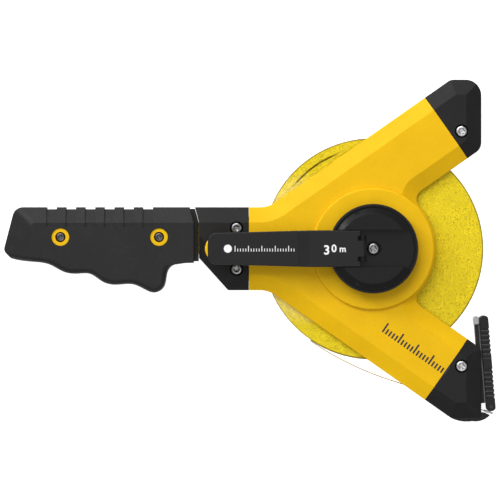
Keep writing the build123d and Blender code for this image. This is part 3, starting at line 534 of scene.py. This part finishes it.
def wound_tape():
    """A ribbon wound in a spiral, whose turns wave a little and stand loose at one place."""
    tree, given, end = node_group(
        "wound_tape",
        [
            ("Inner Radius", "Float", 0.05),
            ("Outer Radius", "Float", 0.083),
            ("Turns", "Float", 72.0),
            ("Points", "Int", 96),
            ("Thickness", "Float", 0.0004),
            ("Width", "Float", 0.013),
            ("Wander", "Float", 0.0002),
            ("Stagger", "Float", 0.0003),
            ("Gap Radius", "Float", 0.0766),
            ("Gap Angle", "Float", 2.2),
            ("Gap Spread", "Float", 0.37),
            ("Dip", "Float", 0.0016),
            ("Loose Band", "Float", 0.0014),
            ("Start Turn", "Float", 0.0),
            ("Centre", "Vector", (0, 0, 0)),
            ("Seed", "Float", 0.0),
            ("Material", "Material", None),
        ],
    )
    spiral = tree.add(
        "GeometryNodeCurveSpiral",
        {
            "Resolution": given["Points"], "Rotations": given["Turns"],
            "Start Radius": given["Inner Radius"], "End Radius": given["Outer Radius"],
            "Height": 0.0,
        },
    )
    spin = tree.add("ShaderNodeCombineXYZ", {2: given["Start Turn"]})
    turned = tree.add("GeometryNodeTransform", {"Geometry": spiral, "Rotation": spin})
    place = tree.add("GeometryNodeInputPosition").outputs[0]
    radius = tree.add("ShaderNodeVectorMath", {0: place}, operation="LENGTH").outputs["Value"]
    outward = tree.add("ShaderNodeVectorMath", {0: place}, operation="NORMALIZE").outputs[0]
    spot = tree.add("ShaderNodeSeparateXYZ", {"Vector": outward})
    seed_spot = tree.add("ShaderNodeCombineXYZ", {2: given["Seed"]})
    ring = tree.add("ShaderNodeVectorMath", {0: outward, 1: seed_spot}, operation="ADD").outputs[0]
    waves = tree.add(
        "ShaderNodeTexNoise", {"Vector": ring, "W": radius, "Scale": 1.4, "Detail": 2.0},
        noise_dimensions="4D",
    ).outputs[0]
    wave = tree.math("MULTIPLY", tree.math("SUBTRACT", waves, 0.5), given["Wander"])
    # no waves where the coil is widest, so that it keeps its size
    slack = tree.math("SUBTRACT", given["Outer Radius"], radius)
    wave = tree.math("MULTIPLY", wave, tree.ramp(slack, 0.0, 4 * MM))
    # a few loose turns stand back over one stretch of arc
    angle = tree.math("ARCTAN2", spot.outputs[1], spot.outputs[0])
    off = tree.math("DIVIDE", tree.math("SUBTRACT", angle, given["Gap Angle"]), given["Gap Spread"])
    swell = tree.math("SUBTRACT", 1.0, tree.math("MULTIPLY", off, off))
    swell = tree.math("MAXIMUM", swell, 0.0)
    inside = tree.math("LESS_THAN", radius, given["Gap Radius"])
    radial = tree.add("ShaderNodeVectorMath", {0: outward, "Scale": wave}, operation="SCALE")
    # turns stand a little out of line sideways
    side = tree.add(
        "ShaderNodeTexNoise", {"Vector": ring, "W": tree.math("MULTIPLY", radius, 1400.0), "Scale": 0.7,
                               "Detail": 1.0},
        noise_dimensions="4D",
    ).outputs[0]
    swing = tree.math("MULTIPLY", given["Stagger"], 2.0)
    lift = tree.math("MULTIPLY", tree.math("SUBTRACT", side, 0.5), swing)
    band = tree.math("SUBTRACT", given["Gap Radius"], given["Loose Band"])
    inside_band = tree.math("MULTIPLY", inside, tree.math("GREATER_THAN", radius, band))
    dip = tree.math("MULTIPLY", tree.math("MULTIPLY", swell, inside_band), given["Dip"])
    up = tree.add("ShaderNodeCombineXYZ", {2: tree.math("SUBTRACT", lift, dip)})
    offset = tree.add("ShaderNodeVectorMath", {0: radial, 1: up}, operation="ADD")
    waved = tree.add("GeometryNodeSetPosition", {"Geometry": turned, "Offset": offset})
    flat = tree.add("GeometryNodeSetCurveNormal", {"Curve": waved}, mode="Z_UP")
    reach = tree.add("GeometryNodeSplineParameter").outputs["Length"]
    named = tree.add(
        "GeometryNodeStoreNamedAttribute", {"Geometry": flat, "Name": "along", "Value": reach},
        data_type="FLOAT", domain="POINT",
    )
    section = tree.add(
        "GeometryNodeCurvePrimitiveQuadrilateral",
        {"Width": given["Thickness"], "Height": given["Width"]},
    )
    ribbon = tree.add(
        "GeometryNodeCurveToMesh", {"Curve": named, "Profile Curve": section, "Fill Caps": True}
    )
    flat_faces = tree.add("GeometryNodeSetShadeSmooth", {"Geometry": ribbon, "Shade Smooth": False})
    placed = tree.add("GeometryNodeTransform", {"Geometry": flat_faces, "Translation": given["Centre"]})
    close_tree(tree, placed, given, end)
    return tree.tree


def ribbon_on_path():
    """A flat ribbon along the edges of the base mesh."""
    tree, given, end = node_group(
        "ribbon_on_path",
        [
            ("Geometry", "Geometry", None),
            ("Steps", "Int", 300),
            ("Thickness", "Float", 0.0004),
            ("Width", "Float", 0.013),
            ("Material", "Material", None),
        ],
    )
    curve = tree.add("GeometryNodeMeshToCurve", {"Mesh": given["Geometry"]})
    even = tree.add("GeometryNodeResampleCurve", {"Curve": curve, "Count": given["Steps"]})
    flat = tree.add("GeometryNodeSetCurveNormal", {"Curve": even}, mode="Z_UP")
    reach = tree.add("GeometryNodeSplineParameter").outputs["Length"]
    named = tree.add(
        "GeometryNodeStoreNamedAttribute", {"Geometry": flat, "Name": "along", "Value": reach},
        data_type="FLOAT", domain="POINT",
    )
    section = tree.add(
        "GeometryNodeCurvePrimitiveQuadrilateral",
        {"Width": given["Thickness"], "Height": given["Width"]},
    )
    ribbon = tree.add(
        "GeometryNodeCurveToMesh", {"Curve": named, "Profile Curve": section, "Fill Caps": True}
    )
    close_tree(tree, ribbon, given, end)
    return tree.tree


def scale_marks():
    """A row of printed lines along X, with every fifth one longer."""
    tree, given, end = node_group(
        "scale_marks",
        [
            ("Count", "Int", 21),
            ("Spacing", "Float", 0.002),
            ("Short", "Float", 0.002),
            ("Long", "Float", 0.004),
            ("Every", "Int", 5),
            ("Line", "Float", 0.0005),
            ("Film", "Float", 0.00004),
            ("Place", "Vector", (0, 0, 0)),
            ("Angle", "Float", 0.0),
            ("Material", "Material", None),
        ],
    )
    step = tree.add("ShaderNodeCombineXYZ", {0: given["Spacing"]})
    line = tree.add(
        "GeometryNodeMeshLine", {"Count": given["Count"], "Offset": step}, mode="OFFSET"
    )
    index = tree.add("GeometryNodeInputIndex").outputs[0]
    rest = tree.math("MODULO", index, given["Every"])
    tall = tree.math("LESS_THAN", rest, 0.5)
    height = tree.math(
        "ADD", given["Short"],
        tree.math("MULTIPLY", tall, tree.math("SUBTRACT", given["Long"], given["Short"])),
    )
    size = tree.add("ShaderNodeCombineXYZ", {0: given["Line"], 1: height, 2: given["Film"]})
    unit = tree.add("GeometryNodeMeshCube", {"Size": (1.0, 1.0, 1.0)})
    raised = tree.add("GeometryNodeTransform", {"Geometry": unit, "Translation": (0.0, 0.5, 0.5)})
    copies = tree.add(
        "GeometryNodeInstanceOnPoints", {"Points": line, "Instance": raised, "Scale": size}
    )
    spin = tree.add("ShaderNodeCombineXYZ", {2: given["Angle"]})
    placed = tree.add(
        "GeometryNodeTransform", {"Geometry": copies, "Rotation": spin, "Translation": given["Place"]}
    )
    close_tree(tree, placed, given, end)
    return tree.tree


# --- operators ----------------------------------------------------------------------------


class FinishFrame(bpy.types.Operator):
    """Give the yellow frame halves their moulded finish"""

    bl_idname = "tape_reel.finish_frame"
    bl_label = "Finish the frame"

    def execute(self, context):
        colours = context.scene.tape_reel.colours
        yellow = moulded("yellow_plastic", colours.yellow, 0.50, 0.35 * MM, 0.008 * MM, gloss=0.10)
        coat(yellow, "frame_front", "frame_rear", "crank_knob")
        return {"FINISHED"}


class FinishBlackParts(bpy.types.Operator):
    """Give caps, collar, hub, crank and end fitting their black plastic"""

    bl_idname = "tape_reel.finish_black_parts"
    bl_label = "Finish the black parts"

    def execute(self, context):
        colours = context.scene.tape_reel.colours
        black = moulded(
            "black_plastic", colours.black, 0.55, 0.30 * MM, 0.012 * MM, 0.10, gloss=0.20, dust=0.012
        )
        coat(black, "upper_cap", "lower_cap", "collar_front", "collar_rear")
        smooth = moulded(
            "black_smooth", colours.black, 0.42, 0.35 * MM, 0.005 * MM, 0.08, gloss=0.22, dust=0.004,
            seam=False
        )
        coat(smooth, "crank_arm")
        darker = tuple(part * 0.5 for part in colours.black)
        glossy = moulded(
            "black_glossy", darker, 0.30, 0.35 * MM, 0.002 * MM, 0.05, gloss=0.20, seam=False
        )
        coat(glossy, "crank_hub", "spool_drum")
        coat(smooth, "claw_sleeve")
        coat(ribbed("black_ribbed", colours.black), "end_grip")
        return {"FINISHED"}


class FinishGrip(bpy.types.Operator):
    """Give the grip shells their leathery grain"""

    bl_idname = "tape_reel.finish_grip"
    bl_label = "Finish the grip"

    def execute(self, context):
        colours = context.scene.tape_reel.colours
        grain = moulded(
            "black_grip", colours.grip, 0.52, 0.45 * MM, 0.03 * MM, 0.14, gloss=0.26, dust=0.015
        )
        coat(grain, "grip_front", "grip_rear")
        return {"FINISHED"}


class FinishHardware(bpy.types.Operator):
    """Give pins, nuts, claw and bushes their metals and nylon"""

    bl_idname = "tape_reel.finish_hardware"
    bl_label = "Finish the hardware"

    def execute(self, context):
        colours = context.scene.tape_reel.colours
        zinc = metal("zinc_steel", colours.zinc, 0.34)
        coat(zinc, "cap_nuts", "collar_nuts", "grip_nuts", "knob_axle")
        coat(metal("dark_steel", (0.05, 0.05, 0.055), 0.4), "hinge_pin", "end_pin")
        coat(zinc, "cap_screws", "collar_screws", "grip_screws", "hub_screw", "tape_anchor")
        spring = metal("spring_steel", colours.steel, 0.34, (0.15, 1.0, 1.0), 0.2 * MM)
        coat(spring, "end_claw", "tape_clamp", "clamp_rivets", "claw_rivets")
        coat(metal("turned_brass", colours.brass, 0.28, (1.0, 1.0, 8.0)), "drum_insert")
        coat(moulded("nylon", colours.nylon, 0.5, 0.4 * MM, 0.006 * MM, seam=False),
             "front_bush", "rear_bush")
        return {"FINISHED"}


class WindTape(bpy.types.Operator):
    """Wind the tape on the drum, turn by turn"""

    bl_idname = "tape_reel.wind_tape"
    bl_label = "Wind the tape"

    def execute(self, context):
        settings = context.scene.tape_reel
        tape = settings.tape
        material = coated_tape("coated_tape", settings.colours)
        # the last turn ends where the tape leaves for the mouth
        leave = Vector((lead_low.x, lead_high.y))
        end_angle = math.atan2(leave.y, leave.x)
        outer = COIL_RADIUS - tape.thickness / 2
        mesh = grown(
            "tape_winding",
            wound_tape(),
            {
                "Inner Radius": COIL_INNER + tape.thickness / 2, "Outer Radius": outer,
                "Turns": tape.turns, "Points": tape.points, "Thickness": tape.thickness,
                "Width": TAPE_WIDTH - 2 * tape.stagger, "Wander": tape.wander,
                "Stagger": tape.stagger, "Gap Radius": tape.gap_radius,
                "Gap Angle": tape.gap_angle, "Gap Spread": tape.gap_spread,
                "Dip": tape.dip, "Loose Band": tape.loose,
                "Start Turn": end_angle - tape.turns * 2 * math.pi,
                "Centre": REEL_CENTRE, "Seed": tape.seed, "Material": material,
            },
        )
        new_piece("tape_winding", mesh, material, "reel", "tape_glass", "tape_coil")
        return {"FINISHED"}


class LeadTape(bpy.types.Operator):
    """Lead the tape from the coil through the mouth to its clamp"""

    bl_idname = "tape_reel.lead_tape"
    bl_label = "Lead the tape out"

    def execute(self, context):
        tape = context.scene.tape_reel.tape
        stub_middle = (stub_low + stub_high) / 2
        reach = (stub_high.x - stub_low.x) / TAPE_DIRECTION.x / 2
        tip = stub_middle + TAPE_DIRECTION * reach
        # a wide bend that touches the coil and the tape's line
        bend = 240 * MM
        drop = -stub_middle.dot(TAPE_UP)
        out = bend - COIL_RADIUS - tape.thickness
        rise = bend - drop
        centre = TAPE_UP * rise + TAPE_DIRECTION * math.sqrt(out**2 - rise**2)
        first = math.atan2(-centre.y, -centre.x)
        last = math.atan2(-TAPE_UP.y, -TAPE_UP.x)
        points = []
        for step in range(41):
            turn = first + (last - first) * step / 40
            points.append(centre.xy + bend * Vector((math.cos(turn), math.sin(turn))))
        start = points[-1].copy()
        points.append(tip.xy)
        path = bpy.data.meshes.new("tape_path")
        path.from_pydata(
            [(*point, MID_Z) for point in points], [(n, n + 1) for n in range(len(points) - 1)], []
        )
        material = bpy.data.materials["coated_tape"]
        mesh = grown(
            "tape_ribbon", ribbon_on_path(),
            {"Steps": 400, "Thickness": tape.thickness, "Width": TAPE_WIDTH, "Material": material},
            path,
        )
        piece = new_piece("tape_ribbon", mesh, material, None, "tape_glass", "tape_lead", "tape_stub")
        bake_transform(piece)
        return {"FINISHED"}


def star_screw(name, head_radius, head_height, shank_radius, length, recess):
    """A screw with a rounded head and a six-lobed recess, its head's top at height 0."""
    lobe = recess * 0.13
    dome = head_radius * 0.34
    rings = [(0, 0, -length), (shank_radius - 0.4 * MM, 0, -length)]
    rings += [(shank_radius, 0, -length + 0.4 * MM), (shank_radius, 0, -head_height)]
    rings += [(head_radius - 0.2 * MM, 0, -head_height), (head_radius, 0, -head_height + 0.2 * MM)]
    for step in range(7):
        turn = math.pi / 2 * step / 6
        reach = recess + 0.5 * MM + (head_radius - recess - 0.5 * MM) * math.cos(turn)
        rings.append((reach, 0, -dome * (1 - math.sin(turn))))
    rings += [(recess + 0.25 * MM, lobe * 0.8, 0), (recess, lobe, -0.2 * MM)]
    rings += [(recess, lobe, -head_height * 0.62), (0, 0, -head_height * 0.8)]
    mesh = lofted(name, rings)
    smooth_by_angle(mesh)
    return mesh


class FitScrews(bpy.types.Operator):
    """Fit the screws with their six-lobed recesses"""

    bl_idname = "tape_reel.fit_screws"
    bl_label = "Fit the screws"

    def execute(self, context):
        colours = context.scene.tape_reel.colours
        zinc = metal("screw_zinc", colours.zinc, 0.30, grain=0.5 * MM)
        wear_and_highlight = metal("screw_worn", (0.26, 0.26, 0.26), 0.26, grain=0.5 * MM)
        dark = metal("screw_dark", (0.12, 0.12, 0.13), 0.30, grain=0.5 * MM)
        group = line_of_copies()
        rows = (
            ("cap_screws", "frame", zinc, 2.5, 3.0, 0.0),
            ("collar_screws", "frame", wear_and_highlight, 2.5, 3.0, 0.4),
            ("grip_screws", "frame", dark, 2.0, 2.4, 0.3),
            ("hub_screw", "reel", wear_and_highlight, 2.5, 3.0, 0.0),
        )
        for node, body, material, shank, head, turn in rows:
            low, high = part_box(node)
            size = high - low
            radius = min(size.x, size.y) / 2
            top = high.z
            first = Vector((low.x + radius, low.y + radius, top))
            last = Vector((high.x - radius, high.y - radius, top))
            count = 2 if (last - first).length > radius else 1
            if node == "collar_screws":
                first.x, last.x = last.x, first.x
            shape = star_screw(node + "_one", radius, head * MM, shank * MM, size.z, radius * 0.46)
            mesh = grown(
                node + "_fitted", group,
                {"First": first, "Last": last, "Count": count, "Turn": turn, "Material": material},
                shape,
            )
            new_piece(node + "_fitted", mesh, material, body, "zinc_steel", node)
        return {"FINISHED"}


class PrintArmScale(bpy.types.Operator):
    """Print a plain black scale on the lower arm of the frame"""

    bl_idname = "tape_reel.print_arm_scale"
    bl_label = "Print the arm scale"

    def execute(self, context):
        ink = printed_ink("black_ink", context.scene.tape_reel.colours.ink, 0.4)
        face = 2 * MID_Z
        angle = math.radians(-35)
        start = Vector((7.0 * MM, -62.5 * MM, face))
        mesh = grown(
            "arm_scale", scale_marks(),
            {"Count": 21, "Spacing": 2.8 * MM, "Short": 4.4 * MM, "Long": 8.0 * MM, "Every": 5,
             "Line": 1.35 * MM, "Film": 0.05 * MM, "Place": start, "Angle": angle, "Material": ink},
        )
        new_piece("arm_scale", mesh, ink, "frame", "black_plastic")
        return {"FINISHED"}


def text_mesh(name, words, size, film):
    """Words as a thin printed film, lying flat with their left end at the origin."""
    curve = bpy.data.curves.new(name, "FONT")
    curve.body = words
    curve.size = size
    curve.extrude = film / 2
    curve.offset = size * 0.022
    curve.resolution_u = 4
    made = bpy.data.objects.new(name, curve)
    bpy.context.scene.collection.objects.link(made)
    bpy.context.view_layer.update()
    graph = bpy.context.evaluated_depsgraph_get()
    mesh = bpy.data.meshes.new_from_object(made.evaluated_get(graph))
    bpy.data.objects.remove(made)
    return mesh


class PrintCrank(bpy.types.Operator):
    """Print the white marks on the crank arm"""

    bl_idname = "tape_reel.print_crank"
    bl_label = "Print the crank"

    def execute(self, context):
        white = printed_ink("white_ink", context.scene.tape_reel.colours.white, 0.45)
        film = 0.05 * MM
        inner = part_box("crank_arm")[1].z
        outer = inner - 3.5 * MM
        shape = bmesh.new()
        # round spot at the free end
        spot = bmesh.ops.create_cone(
            shape, cap_ends=True, segments=40, radius1=3.0 * MM, radius2=3.0 * MM, depth=film
        )
        bmesh.ops.translate(shape, verts=spot["verts"], vec=(-108.8 * MM, 0, outer + film / 2))
        mesh = bpy.data.meshes.new("crank_print")
        shape.to_mesh(mesh)
        shape.free()
        new_piece("crank_spot", mesh, white, "crank", "black_plastic")
        glyphs = (
            ("three", "3", 9.6, -37.4, -4.2),
            ("zero", "0", 7.8, -31.5, -2.4),
            ("metre", "m", 6.6, -25.6, -2.4),
        )
        for label, glyph, size, x, y in glyphs:
            words = text_mesh("crank_" + label, glyph, size * MM, film)
            words.transform(Matrix.Translation((x * MM, y * MM, inner + film / 2)))
            new_piece("crank_" + label, words, white, "crank", "black_plastic")
        mesh = grown(
            "crank_scale", scale_marks(),
            {"Count": 23, "Spacing": 2.0 * MM, "Short": 2.2 * MM, "Long": 4.2 * MM, "Every": 5,
             "Line": 0.55 * MM, "Film": film, "Place": (-103.4 * MM, -2.1 * MM, outer),
             "Angle": 0.0, "Material": white},
        )
        new_piece("crank_scale", mesh, white, "crank", "black_plastic")
        return {"FINISHED"}


class SetStage(bpy.types.Operator):
    """Lay the floor, hang the lights and set the camera"""

    bl_idname = "tape_reel.set_stage"
    bl_label = "Set the stage"

    def execute(self, context):
        scene = context.scene
        stage = scene.tape_reel.stage
        # floor
        material, tree, shader = new_material("pale_floor")
        place = tree.add("ShaderNodeTexCoord").outputs["Object"]
        paper = noise(tree, place, 5 * MM, 4.0)
        join(tree, tree.mix(paper, (0.50, 0.50, 0.50), (0.53, 0.53, 0.53)), shader.inputs["Base Color"])
        shader.inputs["Roughness"].default_value = 0.9
        shader.inputs["Specular IOR Level"].default_value = 0.1
        shader.inputs["Emission Color"].default_value = (1, 1, 1, 1)
        shader.inputs["Emission Strength"].default_value = stage.glow
        half = 8.0
        mesh = bpy.data.meshes.new("floor")
        mesh.from_pydata(
            [(x, y, -0.6 * MM) for x, y in ((-half, -half), (half, -half), (half, half), (-half, half))],
            [], [(0, 1, 2, 3)],
        )
        mesh.materials.append(material)
        floor = bpy.data.objects.new("floor", mesh)
        scene.collection.objects.link(floor)
        # pale room
        world = bpy.data.worlds.new("pale_room")
        world.use_nodes = True
        world.node_tree.nodes["Background"].inputs[0].default_value = (1, 1, 1, 1)
        world.node_tree.nodes["Background"].inputs[1].default_value = stage.sky
        scene.world = world
        # lights
        middle = Vector((stage.centre_x, stage.centre_y, 0))
        lamps = (
            ("key", Vector((-1.2, 2.7, 3.2)), 4.2, stage.key),
            ("edge", Vector((-2.9, 2.3, 1.8)), 0.7, stage.edge),
            ("fill", Vector((0.6, -1.2, 3.8)), 3.0, stage.fill),
        )
        for name, place, size, power in lamps:
            light = bpy.data.lights.new(name, "AREA")
            light.shape = "DISK"
            light.size = size
            light.energy = power
            lamp = bpy.data.objects.new(name, light)
            lamp.location = middle + place
            lamp.rotation_euler = (-place).to_track_quat("-Z", "Y").to_euler()
            scene.collection.objects.link(lamp)
        # camera
        camera = bpy.data.cameras.new("camera")
        camera.sensor_width = 36.0
        camera.lens = 36.0 * stage.distance / stage.width
        camera.clip_end = 50.0
        view = bpy.data.objects.new("camera", camera)
        view.location = (stage.centre_x, stage.centre_y, 0.032 + stage.distance)
        scene.collection.objects.link(view)
        scene.camera = view
        scene.view_settings.view_transform = "Standard"
        return {"FINISHED"}


STEPS = (
    FinishFrame, FinishBlackParts, FinishGrip, FinishHardware, WindTape, LeadTape, FitScrews,
    PrintArmScale, PrintCrank, SetStage,
)


class TapeReelPanel(bpy.types.Panel):
    """Sizes, colours and steps of the tape reel"""

    bl_idname = "VIEW3D_PT_tape_reel"
    bl_label = "Tape Reel"
    bl_space_type = "VIEW_3D"
    bl_region_type = "UI"
    bl_category = "Tape Reel"

    def draw(self, context):
        settings = context.scene.tape_reel
        for group in (settings.colours, settings.tape, settings.stage):
            box = self.layout.box()
            for name in group.__annotations__:
                box.prop(group, name)
        for step in STEPS:
            self.layout.operator(step.bl_idname)


CLASSES = (ReelColours, ReelTape, ReelStage, ReelSettings, *STEPS, TapeReelPanel)


def register():
    """Make the settings, steps and panel known."""
    for item in CLASSES:
        bpy.utils.register_class(item)
    bpy.types.Scene.tape_reel = PointerProperty(type=ReelSettings)


def unregister():
    """Take them away again."""
    del bpy.types.Scene.tape_reel
    for item in reversed(CLASSES):
        bpy.utils.unregister_class(item)


def main():
    """Run every step in order."""
    register()
    for step in STEPS:
        family, name = step.bl_idname.split(".")
        getattr(getattr(bpy.ops, family), name)()


if __name__ == "__main__":
    main()
